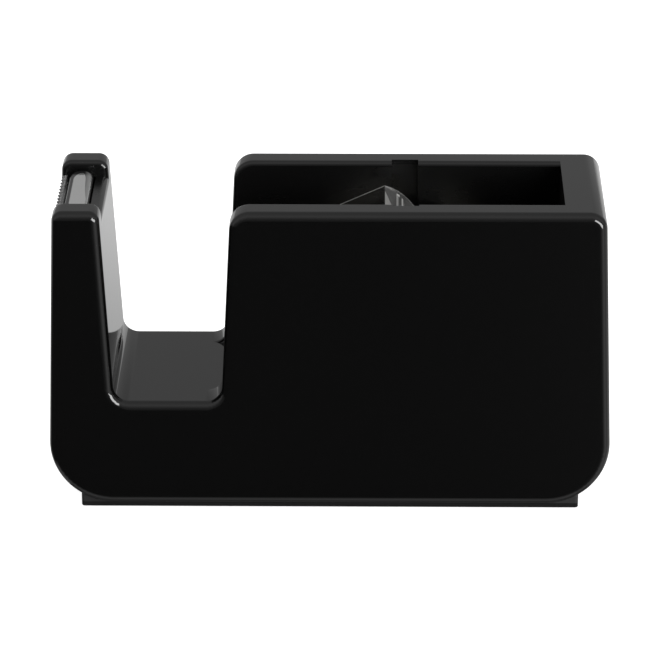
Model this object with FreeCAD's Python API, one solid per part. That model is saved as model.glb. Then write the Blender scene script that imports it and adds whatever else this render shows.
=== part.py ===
"""Weighted desk tape dispenser with a lift-out roll, built piece by piece. Millimetres, +Z up.

X runs along the body, from the cutter tower (-X) to the back wall (+X). Y runs across it.
The origin is on the desk, under the middle of the body.
"""
import FreeCAD, Part
import math
import os

from FreeCAD import Vector

# ---------------------------------------------------------------- body, overall
BASE_LENGTH = 140.3        # length of the body where its end walls meet the bottom edge
TOP_WIDTH = 42.0           # width across the cheeks at the top
HEIGHT = 79.1              # desk to the top of the cheeks
RIM_HEIGHT = 1.7           # desk to the bottom edge of the body
OUTER_DRAFT = 2.0          # lean of every outer wall, degrees
GAP_DRAFT = 3.0            # lean of the two faces of the open gap, degrees
WALL = 2.4                 # thickness of the moulding
EDGE_RADIUS = 2.2          # rounding of the outer edges of the two broad sides
INNER_EDGE_RADIUS = 1.3    # rounding of the inner edges of the cheeks
BOTTOM_CORNER = 16.0       # big corners at the foot of the broad sides
BACK_CORNER = 4.2          # top corner over the back wall
CHEEK_CORNER = 5.0         # top corner of the cheeks beside the gap
TOWER_CORNER = 2.6         # top corners of the tower, at least 0.4 more than EDGE_RADIUS
GAP_FLOOR_FILLET = 4.0     # hollow corners at the floor of the gap

# ---------------------------------------------------------------- gap, bay and tower
TOWER_LENGTH = 11.5        # tower at its top
GAP_LENGTH = 31.8          # open gap at its top
GAP_DEPTH = 50.0           # top of the cheeks down to the floor of the gap
BACK_WALL = 10.05           # thickness of the back wall at its top
TROUGH_CLEARANCE = 9.0     # room in the trough round the wound tape
AXLE_SETBACK = 42.7        # mouth of the bay to the axle, at the top
AXLE_DEPTH = 34.0          # top of the cheeks down to the axle
NOTCH_DEPTH = 1.8          # how far each notch is cut into its cheek
NOTCH_SKIN = 2.0           # material kept round a notch

# ---------------------------------------------------------------- cutter seat in the tower
LEDGE_DROP = 4.0           # cheek top down to the ledge beside the landing bar
LEDGE_CORNER = 1.8         # rounding of the ledge towards the gap
SEAT_DROP = 14.0           # cheek top down to the seat of the blade holder
LEDGE_LENGTH = 3.2         # the ledge between the seat and the gap, at its top
BLADE_INSET = 1.75         # tower's end face back to the blade's flange
SEAT_GAP = 0.6            # holder to the ledge
SIDE_GAP = 0.1             # holder to each cheek

# ---------------------------------------------------------------- cutter pieces
BLADE_THICKNESS = 0.5
BLADE_TIP_DROP = 3.5       # cheek top down to the tooth tips
BLADE_TIP_INSET = 0.1      # tooth tips in from the tower's end face
TOOTH_PITCH = 2.0
TOOTH_LENGTH = 1.15
BLADE_FLANGE = 6.5         # height of the flange that is let into the holder
LANDING_WIDTH = 5.5
LANDING_TOP_DROP = 2.0     # cheek top down to the top of the landing bar
LANDING_END_GAP = 0.8      # end of the landing bar to each cheek
LANDING_EDGE = 1.2
PLINTH_DROP = 4.3          # cheek top down to the top of the blade holder

# ---------------------------------------------------------------- axle, spool and tape
AXLE_RADIUS = 3.2
NOTCH_CLEARANCE = 0.1      # axle to the notch, each side
AXLE_END_GAP = 0.2         # axle end to the back of its notch
RUNNING_CLEARANCE = 0.05   # spool on the axle
TAPE_WIDTH = 19.0
TAPE_RADIUS = 22.5         # outside of the wound tape
CORE_BORE_RADIUS = 12.7    # a one-inch core
CORE_WALL = 1.5
CORE_FIT = 0.1             # spool barrel inside the core
SPOOL_WALL = 1.4
SPOOL_SPIGOT_WALL = 0.8
SPOOL_SPIGOT_LENGTH = 4.0
SPOOL_HUB_WALL = 1.8
FLANGE_THICKNESS = 1.3
FLANGE_LIP = 0.8           # flange beyond the core
FLANGE_GAP = 0.2           # flange to the edge of the tape
SPOOL_BOSS = 2.0           # boss on each flange
BAY_CLEARANCE = 0.4        # boss to the cheek
SPOOL_WINDOWS = 5
SPOOL_WINDOW_RADIUS = 1.8
TAIL_THICKNESS = 0.12      # loose end, a little thicker than the film
TAIL_LIFT = 0.06           # loose end off the wound tape where it still lies on it
TAIL_LIES_FROM = 24.0      # where the loose end leaves the roll's surface, degrees past the top
TAIL_LIES_TO = 9.0         # where it lifts off
TAIL_LEAVING_PULL = 0.6    # how far it carries on along the roll as it lifts
TAIL_CREASE_BACK = 5.0     # axle to the crease, towards the cutter
TAIL_CREASE_RISE = 6.7     # wound tape up to the crease
TAIL_CREASE_SLOPE = 15.0   # slope of the film as it reaches the crease, degrees
TAIL_CREASE_PULL = 5.7
TAIL_REACH = 16.4          # crease to the end
TAIL_FALL = 24.5           # slope down to the end, degrees
TAIL_STATIONS = 12         # points that carry the thickness along each stretch

# ---------------------------------------------------------------- base
PLATE_INSET = 8.0          # end of the body in to the end of the base plate
PLATE_TOP = 4.4            # desk to the top of the base plate
PAD_THICKNESS = 1.3
PAD_EDGE = 0.3             # rounding of the pad's bottom edge
PLATE_FIT = 0.1
PLATE_CORNER = 0.8
BOSS_INSET = 13.0          # end of the body in to the screw bosses
BOSS_SPREAD = 14.0         # middle of the body out to the screw bosses
BOSS_RADIUS = 3.5
SCREW_RADIUS = 1.4
SCREW_HEAD_RADIUS = 2.8
SCREW_HEAD = 1.5
CROSS_ARM = 1.7            # middle of the head out to the end of each arm of its cross
CROSS_SLOT = 0.35          # half the width of each arm
CROSS_DEPTH = 0.9
SCREW_FIT = 0.05           # screw in its hole
HEAD_ROOM = 0.15           # screw head in its counterbore
BASE_SCREW_LENGTH = 12.0
WEIGHT_SCREW_LENGTH = 7.0
HOLDER_SCREW_LENGTH = 7.5
WEIGHT_SCREW_X = (-40.0, 42.0)
WEIGHT_SCREW_SPREAD = 10.0
HOLDER_SCREW_SPREAD = 8.0
WEIGHT_GAP = 1.0           # ballast to the walls and bosses round it

FAR = 400.0                # reach of cutting tools, beyond every piece

# ---------------------------------------------------------------- places that follow
tan_outer = math.tan(math.radians(OUTER_DRAFT))
tan_gap = math.tan(math.radians(GAP_DRAFT))
half_length = BASE_LENGTH / 2
end_at_top = half_length - (HEIGHT - RIM_HEIGHT) * tan_outer
floor_z = HEIGHT - GAP_DEPTH
tower_right = -end_at_top + TOWER_LENGTH
bay_mouth = tower_right + GAP_LENGTH
bay_end = end_at_top - BACK_WALL
axle_x = bay_mouth + AXLE_SETBACK
axle_z = HEIGHT - AXLE_DEPTH
trough_radius = TAPE_RADIUS + TROUGH_CLEARANCE
notch_half = AXLE_RADIUS + NOTCH_CLEARANCE
flange_y = TAPE_WIDTH / 2 + FLANGE_GAP
boss_y = flange_y + FLANGE_THICKNESS + SPOOL_BOSS
bay_half = boss_y + BAY_CLEARANCE
ledge_z = HEIGHT - LEDGE_DROP
seat_z = HEIGHT - SEAT_DROP
seat_right = tower_right + LEDGE_DROP * tan_gap - LEDGE_LENGTH
plate_half_length = half_length - PLATE_INSET
boss_places = [(sx * (half_length - BOSS_INSET), sy * BOSS_SPREAD) for sx in (-1, 1) for sy in (-1, 1)]
weight_places = [(x, s * WEIGHT_SCREW_SPREAD) for x in WEIGHT_SCREW_X for s in (-1, 1)]


def half_width(z):
    """Half the width of the body at a height."""
    return TOP_WIDTH / 2 + (HEIGHT - z) * tan_outer


def end_face(z):
    """Distance of either end face from the middle, at a height."""
    return end_at_top + (HEIGHT - z) * tan_outer


mouth_half = half_width(RIM_HEIGHT) - WALL
base_screw_z = PAD_THICKNESS + HEAD_ROOM
plinth_z = HEIGHT - PLINTH_DROP
landing_top = HEIGHT - LANDING_TOP_DROP
blade_x = -end_face(HEIGHT - BLADE_TIP_DROP) + BLADE_INSET
holder_left = blade_x + BLADE_THICKNESS
holder_right = seat_right - SEAT_GAP
holder_x = (holder_left + holder_right) / 2
landing_x = holder_right - LANDING_WIDTH / 2
holder_screw_z = seat_z - WALL - SCREW_HEAD
holder_screw_places = (-HOLDER_SCREW_SPREAD, HOLDER_SCREW_SPREAD)


# ---------------------------------------------------------------- small tools
def box(x0, x1, y0, y1, z0, z1):
    """A box between two corners."""
    return Part.makeBox(x1 - x0, y1 - y0, z1 - z0, Vector(x0, y0, z0))


def rod(radius, x, z, y0, y1):
    """A cylinder along Y."""
    return Part.makeCylinder(radius, y1 - y0, Vector(x, y0, z), Vector(0, 1, 0))


def post(radius, x, y, z0, z1):
    """A cylinder along Z."""
    return Part.makeCylinder(radius, z1 - z0, Vector(x, y, z0))


def rounded_wire(corners):
    """A closed wire through (point, radius) corners, with an arc at each radius."""
    count = len(corners)
    edges = []
    first = last = None
    for i, (point, radius) in enumerate(corners):
        back = (corners[i - 1][0] - point).normalize()
        ahead = (corners[(i + 1) % count][0] - point).normalize()
        half_angle = back.getAngle(ahead) / 2
        start = point + back * (radius / math.tan(half_angle))
        end = point + ahead * (radius / math.tan(half_angle))
        if last is not None:
            edges.append(Part.LineSegment(last, start).toShape())
        if radius > 0:
            inward = (back + ahead).normalize()
            middle = point + inward * (radius / math.sin(half_angle) - radius)
            edges.append(Part.Arc(start, middle, end).toShape())
        first = start if first is None else first
        last = end
    edges.append(Part.LineSegment(last, first).toShape())
    return Part.Wire(edges)


def prism(corners, along):
    """A solid swept straight from a rounded outline."""
    return Part.Face(rounded_wire(corners)).extrude(along)


def plain(points):
    """The same points with square corners."""
    return [(point, 0.0) for point in points]


def inset_points(points, distances):
    """Move each side of an anticlockwise XZ outline inwards by its own distance."""
    count = len(points)
    lines = []
    for i, point in enumerate(points):
        along = (points[(i + 1) % count] - point).normalize()
        inward = Vector(-along.z, 0, along.x)
        lines.append((point + inward * distances[i], along))
    moved = []
    for i in range(count):
        (p, u), (q, v) = lines[i - 1], lines[i]
        cross = u.x * v.z - u.z * v.x
        reach = ((q.x - p.x) * v.z - (q.z - p.z) * v.x) / cross
        moved.append(p + u * reach)
    return moved


def obround(length, width, x, z0, z1):
    """A round-ended bar along Y, centred on Y = 0."""
    straight = length / 2 - width / 2
    bar = box(x - width / 2, x + width / 2, -straight, straight, z0, z1)
    for side in (-1, 1):
        bar = bar.fuse(post(width / 2, x, side * straight, z0, z1))
    return bar.removeSplitter()


def turned(points):
    """A ring on the axle, from (radius, y) points."""
    wire = Part.makePolygon([Vector(r, y, 0) for r, y in points + points[:1]])
    ring = Part.Face(wire).revolve(Vector(0, 0, 0), Vector(0, 1, 0), 360)
    ring.translate(Vector(axle_x, 0, axle_z))
    return ring


def pan_screw(x, y, head_bottom, length):
    """A screw driven upwards, with a cross in its head."""
    head_top = head_bottom + SCREW_HEAD
    screw = post(SCREW_HEAD_RADIUS, x, y, head_bottom, head_top)
    screw = screw.fuse(post(SCREW_RADIUS, x, y, head_top, head_top + length))
    for dx, dy in ((CROSS_ARM, CROSS_SLOT), (CROSS_SLOT, CROSS_ARM)):
        screw = screw.cut(box(x - dx, x + dx, y - dy, y + dy, head_bottom, head_bottom + CROSS_DEPTH))
    return screw.removeSplitter()


def screw_hole(x, y, head_bottom, length):
    """Room for that screw: a loose counterbore and a snug hole."""
    head_top = head_bottom + SCREW_HEAD
    bore = post(SCREW_HEAD_RADIUS + HEAD_ROOM, x, y, head_bottom - WALL, head_top)
    return bore.fuse(post(SCREW_RADIUS + SCREW_FIT, x, y, head_top - SCREW_FIT, head_top + length + SCREW_FIT))


def group(solids):
    """Separate solids kept together in one node."""
    return Part.makeCompound(solids)


def fillet_where(solid, radius, wanted):
    """Round every edge that a test picks."""
    return solid.makeFillet(radius, [edge for edge in solid.Edges if wanted(edge)])


def edges_of_side(solid, direction):
    """The outline of the broadest face that looks along a direction."""
    faces = [f for f in solid.Faces if f.normalAt(0, 0).dot(direction) > 0.9]
    return max(faces, key=lambda f: f.Area).OuterWire.Edges


# ---------------------------------------------------------------- body shell
def side_outline(inset):
    """The broad side of the body as (point, radius) corners, drawn in by an inset."""
    points = [
        Vector(-half_length, 0, RIM_HEIGHT), Vector(half_length, 0, RIM_HEIGHT),
        Vector(end_at_top, 0, HEIGHT), Vector(bay_mouth, 0, HEIGHT),
        Vector(bay_mouth - GAP_DEPTH * tan_gap, 0, floor_z),
        Vector(tower_right + GAP_DEPTH * tan_gap, 0, floor_z),
        Vector(tower_right, 0, HEIGHT), Vector(-end_at_top, 0, HEIGHT),
    ]
    radii = [BOTTOM_CORNER, BOTTOM_CORNER, BACK_CORNER, CHEEK_CORNER,
             GAP_FLOOR_FILLET, GAP_FLOOR_FILLET, TOWER_CORNER, TOWER_CORNER]
    grow = [-1, -1, -1, -1, 1, 1, -1, -1]
    moved = inset_points(points, [inset] * len(points))
    return [(p, max(r + g * inset, WALL / 6)) for p, r, g in zip(moved, radii, grow)]


def swept_side(inset, y0, y1):
    """The outline swept straight across between two values of Y."""
    corners = [(point + Vector(0, y0, 0), radius) for point, radius in side_outline(inset)]
    return prism(corners, Vector(0, y1 - y0, 0))


def between_sides(inset):
    """The wedge between the two drafted broad sides, drawn in by an inset."""
    low, high = RIM_HEIGHT - FAR, HEIGHT + FAR
    step = inset / math.cos(math.radians(OUTER_DRAFT))
    low_y, high_y = half_width(low) - step, half_width(high) - step
    if high_y < 0:
        high = HEIGHT + WALL
        high_y = half_width(high) - step
    points = [Vector(-FAR, -low_y, low), Vector(-FAR, low_y, low),
              Vector(-FAR, high_y, high), Vector(-FAR, -high_y, high)]
    return prism(plain(points), Vector(2 * FAR, 0, 0))


def cheek_slab(side):
    """One broad side, from the bay out, with both of its outlines rounded."""
    y0, y1 = sorted((side * bay_half, side * FAR))
    slab = swept_side(0.0, y0, y1).common(between_sides(0.0))
    slab = slab.makeFillet(EDGE_RADIUS, edges_of_side(slab, Vector(0, side, 0)))
    return slab.makeFillet(INNER_EDGE_RADIUS, edges_of_side(slab, Vector(0, -side, 0)))


def middle_blocks():
    """What joins the two broad sides: the base block, the back wall and the tower."""
    reach = bay_half + 2 * INNER_EDGE_RADIUS
    block = swept_side(0.0, -reach, reach)
    base = block.common(box(-FAR, FAR, -FAR, FAR, -FAR, floor_z))
    back = block.common(box(bay_end, FAR, -FAR, FAR, -FAR, FAR))
    tower = block.common(box(-FAR, bay_mouth - GAP_LENGTH / 2, -FAR, FAR, -FAR, seat_z))
    ledge = block.common(box(seat_right, bay_mouth - GAP_LENGTH / 2, -FAR, FAR, -FAR, ledge_z))
    ledge = fillet_where(
        ledge, LEDGE_CORNER, lambda e: e.BoundBox.ZMin > ledge_z - 0.01 and e.BoundBox.XMin > tower_right)
    return base.fuse([back, tower, ledge])


def bay(grow):
    """The room for the tape: the straight bay and the round trough under it."""
    half = bay_half + grow
    straight = box(tower_right + GAP_LENGTH / 2, bay_end + grow, -half, half, floor_z - grow, FAR)
    return straight.fuse(rod(trough_radius + grow, axle_x, axle_z, -half, half))


def notches(grow):
    """The two slots that the ends of the axle drop into."""
    reach = bay_half + NOTCH_DEPTH + grow
    width = notch_half + grow
    slot = rod(width, axle_x, axle_z, -reach, reach)
    return slot.fuse(box(axle_x - width, axle_x + width, -reach, reach, axle_z, FAR))


def hollow():
    """The space inside the double wall, open underneath."""
    space = swept_side(WALL, -FAR, FAR).common(between_sides(WALL))
    space = space.fuse(mouth())
    space = space.cut(bay(WALL))
    space = space.cut(notches(NOTCH_SKIN))
    space = space.cut(box(-FAR, tower_right + GAP_LENGTH / 2, -FAR, FAR, seat_z - WALL, FAR))
    for x, y in boss_places:
        space = space.cut(post(BOSS_RADIUS, x, y, PLATE_TOP, floor_z - WALL / 2))
    return space


def mouth():
    """The opening in the bottom that the base plate closes."""
    half_x, half_y = plate_half_length + PLATE_FIT, mouth_half
    return plate_block(half_x, half_y, PLATE_CORNER, -RIM_HEIGHT, PLATE_TOP)


def plate_block(half_x, half_y, corner, z0, z1):
    """A flat block with rounded corners in plan."""
    corners = [(Vector(sx * half_x, sy * half_y, z0), corner)
               for sx, sy in ((-1, -1), (1, -1), (1, 1), (-1, 1))]
    return prism(corners, Vector(0, 0, z1 - z0))


def body_shell():
    """The one-piece moulding: double walled, with gap, bay, trough, notches, cutter seat and bosses."""
    body = cheek_slab(-1).fuse([cheek_slab(1), middle_blocks()])
    body = body.cut(bay(0.0)).cut(notches(0.0))
    body = body.cut(hollow())
    for x, y in boss_places:
        body = body.cut(screw_hole(x, y, base_screw_z, BASE_SCREW_LENGTH))
    for y in holder_screw_places:
        body = body.cut(screw_hole(holder_x, y, holder_screw_z, HOLDER_SCREW_LENGTH))
    return body.removeSplitter()


# ---------------------------------------------------------------- base
def base_plate():
    """The plate that closes the bottom, with its screw holes."""
    plate = plate_block(plate_half_length, mouth_half - PLATE_FIT, PLATE_CORNER, PAD_THICKNESS, PLATE_TOP)
    for x, y in boss_places + weight_places:
        plate = plate.cut(screw_hole(x, y, base_screw_z, BASE_SCREW_LENGTH))
    return plate


def non_slip_pad():
    """The soft sheet under the base plate."""
    pad = plate_block(plate_half_length, mouth_half - PLATE_FIT, PLATE_CORNER, 0.0, PAD_THICKNESS)
    return fillet_where(pad, PAD_EDGE, lambda e: e.BoundBox.ZMax < PAD_EDGE)


def base_screws():
    """Screws that hold the base plate to the body."""
    return group([pan_screw(x, y, base_screw_z, BASE_SCREW_LENGTH) for x, y in boss_places])


def weight_screws():
    """Screws that hold the ballast to the base plate."""
    return group([pan_screw(x, y, base_screw_z, WEIGHT_SCREW_LENGTH) for x, y in weight_places])


def ballast():
    """The cast weight, cradled round the underside of the trough."""
    reach = half_length - BOSS_INSET - BOSS_RADIUS - WEIGHT_GAP
    half = half_width(floor_z) - WALL - WEIGHT_GAP
    top = floor_z - WALL - WEIGHT_GAP
    block = box(-reach, reach, -half, half, PLATE_TOP, top)
    block = block.cut(rod(trough_radius + WALL + WEIGHT_GAP, axle_x, axle_z, -FAR, FAR))
    block = fillet_where(block, WEIGHT_GAP, lambda e: e.BoundBox.ZLength > WALL and e.BoundBox.XLength < 0.1)
    for x, y in weight_places:
        block = block.cut(screw_hole(x, y, base_screw_z, WEIGHT_SCREW_LENGTH))
    return block


# ---------------------------------------------------------------- cutter
def blade_holder():
    """The block in the tower's seat that carries the blade and the landing bar."""
    half = bay_half - SIDE_GAP
    block = box(holder_left, holder_right, -half, half, seat_z, plinth_z)
    for y in holder_screw_places:
        block = block.cut(screw_hole(holder_x, y, holder_screw_z, HOLDER_SCREW_LENGTH))
    return block


def landing_bar():
    """The polished, round-ended bar that the end of the tape rests on."""
    length = 2 * (bay_half - LANDING_END_GAP)
    bar = obround(length, LANDING_WIDTH, landing_x, plinth_z, landing_top)
    return fillet_where(bar, LANDING_EDGE, lambda e: e.BoundBox.ZMin > landing_top - 0.01)


def cutter_blade():
    """The steel blade: a flange down the face of the holder and a serrated lip."""
    half = bay_half - SIDE_GAP
    root = Vector(blade_x + BLADE_THICKNESS, 0, plinth_z + BLADE_THICKNESS / 2)
    tip = Vector(-end_face(HEIGHT - BLADE_TIP_DROP) + BLADE_TIP_INSET, 0, HEIGHT - BLADE_TIP_DROP)
    along = (tip - root).normalize()
    down = Vector(-along.z, 0, along.x) * BLADE_THICKNESS
    foot_z = plinth_z - BLADE_FLANGE
    profile = [root, tip, tip + down, Vector(blade_x, 0, (root + down).z),
               Vector(blade_x, 0, foot_z), Vector(blade_x + BLADE_THICKNESS, 0, foot_z)]
    blade = prism(plain([p + Vector(0, -half, 0) for p in profile]), Vector(0, 2 * half, 0))
    count = round(2 * half / TOOTH_PITCH)
    pitch = 2 * half / count
    for i in range(count + 1):
        y = -half + i * pitch
        blade = blade.cut(tooth_gap(tip.x, y, pitch))
    return blade


def tooth_gap(tip_x, y, pitch):
    """The V between two teeth, cut straight down through the lip."""
    outer, valley = tip_x - TOOTH_LENGTH, tip_x + TOOTH_LENGTH
    outline = [(outer, -1), (tip_x, -1), (valley, 0), (tip_x, 1), (outer, 1)]
    points = [Vector(x, y + side * pitch / 2, 0) for x, side in outline]
    return prism(plain(points), Vector(0, 0, HEIGHT))


def holder_screws():
    """Screws from inside the tower that hold the blade holder."""
    return group([pan_screw(holder_x, y, holder_screw_z, HOLDER_SCREW_LENGTH) for y in holder_screw_places])


# ---------------------------------------------------------------- axle, spool and tape
def hub_axle():
    """The loose pin whose ends sit in the notches."""
    reach = bay_half + NOTCH_DEPTH - AXLE_END_GAP
    pin = rod(AXLE_RADIUS, axle_x, axle_z, -reach, reach)
    return pin.makeChamfer(AXLE_RADIUS / 8, [e for e in pin.Edges if e.BoundBox.YLength < 0.01])


def spool_half(side, spigot):
    """Half of the spool: hub tube, pierced flange and half of the barrel."""
    bore = AXLE_RADIUS + RUNNING_CLEARANCE
    hub = bore + SPOOL_HUB_WALL
    barrel = CORE_BORE_RADIUS - CORE_FIT
    inside = barrel - SPOOL_WALL
    rim = CORE_BORE_RADIUS + CORE_WALL + FLANGE_LIP
    outer_y = flange_y + FLANGE_THICKNESS
    half = turned([(bore, 0), (hub, 0), (hub, flange_y), (inside, flange_y), (inside, 0), (barrel, 0),
                   (barrel, flange_y), (rim, flange_y), (rim, outer_y), (hub, outer_y), (hub, boss_y),
                   (bore, boss_y)])
    middle = (hub + inside) / 2
    for i in range(SPOOL_WINDOWS):
        turn = 2 * math.pi * i / SPOOL_WINDOWS
        x, z = axle_x + middle * math.cos(turn), axle_z + middle * math.sin(turn)
        half = half.cut(rod(SPOOL_WINDOW_RADIUS, x, z, flange_y - 1, outer_y + 1))
    if spigot:
        root = inside - SPOOL_SPIGOT_WALL
        ring = [(root, -SPOOL_SPIGOT_LENGTH), (inside - RUNNING_CLEARANCE, -SPOOL_SPIGOT_LENGTH),
                (inside - RUNNING_CLEARANCE, 0), (inside, 0), (inside, flange_y), (root, flange_y)]
        half = half.fuse(turned(ring)).removeSplitter()
    if side < 0:
        half = half.mirror(Vector(0, 0, 0), Vector(0, 1, 0))
    return half


def tape_core():
    """The ring that the tape is wound on."""
    outer = CORE_BORE_RADIUS + CORE_WALL
    half = TAPE_WIDTH / 2
    return turned([(CORE_BORE_RADIUS, -half), (outer, -half), (outer, half), (CORE_BORE_RADIUS, half)])


def tape_roll():
    """The wound tape."""
    inner = CORE_BORE_RADIUS + CORE_WALL
    half = TAPE_WIDTH / 2
    return turned([(inner, -half), (TAPE_RADIUS, -half), (TAPE_RADIUS, half), (inner, half)])


def tape_tail():
    """The loose end: it lies on the roll, lifts off, folds over a crease and points at the cutter."""
    lie = TAPE_RADIUS + TAIL_LIFT
    start, middle, leaves = [on_circle(lie, angle) for angle in
                             (TAIL_LIES_FROM, (TAIL_LIES_FROM + TAIL_LIES_TO) / 2, TAIL_LIES_TO)]
    crease = Vector(axle_x - TAIL_CREASE_BACK, 0, axle_z + TAPE_RADIUS + TAIL_CREASE_RISE)
    end = crease + heading(TAIL_FALL) * TAIL_REACH
    poles = [leaves, leaves + heading(-TAIL_LIES_TO) * TAIL_LEAVING_PULL,
             crease - heading(-TAIL_CREASE_SLOPE) * TAIL_CREASE_PULL, crease]
    rise = Part.BezierCurve()
    rise.setPoles(poles)
    under = [Part.Arc(start, middle, leaves), rise, Part.LineSegment(crease, end)]
    over = [raised(curve, TAIL_THICKNESS) for curve in under]
    ends = [Part.LineSegment(over[0].value(over[0].FirstParameter), start),
            Part.LineSegment(over[1].value(over[1].LastParameter), over[2].value(over[2].FirstParameter)),
            Part.LineSegment(end, over[2].value(over[2].LastParameter))]
    edges = [curve.toShape() for curve in under + over + ends]
    film = Part.Face(Part.Wire(Part.sortEdges(edges)[0])).extrude(Vector(0, TAPE_WIDTH, 0))
    film.translate(Vector(0, -TAPE_WIDTH / 2, 0))
    return film


def on_circle(radius, angle):
    """A point about the axle, at an angle past the top towards the back wall."""
    turn = math.radians(angle)
    return Vector(axle_x + radius * math.sin(turn), 0, axle_z + radius * math.cos(turn))


def heading(fall):
    """The direction towards the cutter that falls by an angle."""
    return Vector(-math.cos(math.radians(fall)), 0, -math.sin(math.radians(fall)))


def raised(curve, height):
    """The smooth curve that runs above another at a constant distance."""
    first, last = curve.FirstParameter, curve.LastParameter
    points = []
    for i in range(TAIL_STATIONS + 1):
        at = first + (last - first) * i / TAIL_STATIONS
        along = Vector(*curve.tangent(at)[0])
        points.append(curve.value(at) + Vector(along.z, 0, -along.x) * height)
    above = Part.BSplineCurve()
    above.interpolate(points)
    return above


# ---------------------------------------------------------------- all pieces
PIECES = {
    "body_shell": body_shell,
    "base_plate": base_plate,
    "non_slip_pad": non_slip_pad,
    "base_screws": base_screws,
    "weight_screws": weight_screws,
    "ballast": ballast,
    "blade_holder": blade_holder,
    "landing_bar": landing_bar,
    "cutter_blade": cutter_blade,
    "holder_screws": holder_screws,
    "hub_axle": hub_axle,
    "spool_near": lambda: spool_half(-1, False),
    "spool_far": lambda: spool_half(1, True),
    "tape_core": tape_core,
    "tape_roll": tape_roll,
    "tape_tail": tape_tail,
}


def main():
    """Write every piece to its own file."""
    os.makedirs("parts", exist_ok=True)
    for name, make in PIECES.items():
        shape = make()
        print(name, "valid" if shape.isValid() else "NOT VALID", len(shape.Solids), round(shape.Volume, 1))
        shape.exportStep("parts/" + name + ".step")


main()
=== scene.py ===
"""Looks of a weighted desk tape dispenser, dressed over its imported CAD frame. Metres, +Z up.

X runs along the body from the cutter tower (-X) to the back wall (+X), and Y runs across it.
Each sub-assembly is a class that finishes or remakes its pieces, and the studio stands round them.
"""

import logging
from dataclasses import dataclass
from enum import Enum
from math import copysign, cos, pi, radians, sin, sqrt, tan
from typing import Any, Callable

import bmesh
import bpy
from mathutils import Matrix, Vector


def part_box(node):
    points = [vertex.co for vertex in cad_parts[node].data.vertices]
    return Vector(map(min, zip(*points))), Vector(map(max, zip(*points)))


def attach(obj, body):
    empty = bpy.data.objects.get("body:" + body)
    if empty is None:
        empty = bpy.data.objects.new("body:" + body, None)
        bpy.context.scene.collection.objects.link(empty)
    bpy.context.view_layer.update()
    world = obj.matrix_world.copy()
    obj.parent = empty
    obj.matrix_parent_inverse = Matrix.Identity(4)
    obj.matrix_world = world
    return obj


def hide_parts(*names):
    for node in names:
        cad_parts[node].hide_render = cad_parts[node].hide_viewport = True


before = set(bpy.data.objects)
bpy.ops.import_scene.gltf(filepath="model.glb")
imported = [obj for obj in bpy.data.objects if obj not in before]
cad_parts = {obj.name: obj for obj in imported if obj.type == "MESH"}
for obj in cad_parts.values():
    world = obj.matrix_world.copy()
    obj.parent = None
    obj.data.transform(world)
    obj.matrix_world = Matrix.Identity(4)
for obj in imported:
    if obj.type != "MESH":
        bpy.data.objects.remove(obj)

log = logging.getLogger("dispenser")
Pair = tuple[float, float]
Triple = tuple[float, float, float]
Node, Object, BMesh = bpy.types.Node, bpy.types.Object, bmesh.types.BMesh


def put(name: str, data: bpy.types.ID) -> Object:
    """Put a new object in the scene, at the origin.

    Args:
        name: The object's name.
        data: Its mesh, lamp or camera.

    Returns:
        The object.
    """
    made = bpy.data.objects.new(name, data)
    bpy.context.scene.collection.objects.link(made)
    return made


def spread(node: str) -> tuple[Vector, Vector]:
    """The middle of a frame piece's box, and half of its size."""
    low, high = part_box(node)
    return (low + high) / 2, (high - low) / 2


def toward(azimuth_deg: float, elevation_deg: float) -> Vector:
    """The way to an azimuth, which is 0 in front and 90 at the right, and an elevation."""
    azimuth, rise = radians(azimuth_deg), radians(elevation_deg)
    return Vector((sin(azimuth) * cos(rise), -cos(azimuth) * cos(rise), sin(rise)))


# ---- shader and geometry benches
def operator(operation: str, reflected: bool = False) -> Callable[["Signal", Any], "Signal"]:
    """Make the method of one Math operation.

    Args:
        operation: The Math node's operation.
        reflected: Take the two operands the other way round.

    Returns:
        The method.
    """
    def method(self: "Signal", other: Any) -> "Signal":
        """The result of the operation on this value and another."""
        pair = dict(enumerate((other, self) if reflected else (self, other)))
        return self.bench.out(self.bench.node("ShaderNodeMath", {"operation": operation}, pair))
    return method


@dataclass(eq=False)
class Signal:
    """One node socket that can be used in Python arithmetic."""

    bench: "Bench"
    socket: bpy.types.NodeSocket

    __add__, __radd__ = operator("ADD"), operator("ADD", reflected=True)
    __sub__, __rsub__ = operator("SUBTRACT"), operator("SUBTRACT", reflected=True)
    __mul__, __rmul__ = operator("MULTIPLY"), operator("MULTIPLY", reflected=True)
    __truediv__, __pow__ = operator("DIVIDE"), operator("POWER")
    below, most = operator("LESS_THAN"), operator("MAXIMUM")
    # the angle whose tangent is this value over the other
    angle = operator("ARCTAN2")

    def stepped(self, low: Any, high: Any, smooth: bool = False) -> "Signal":
        """A ramp from 0 at the low value to 1 at the high one, eased at both ends if smooth."""
        settings = {"interpolation_type": "SMOOTHSTEP" if smooth else "LINEAR"}
        return self.bench.out(self.bench.node("ShaderNodeMapRange", settings, {0: self, 1: low, 2: high}))


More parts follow.
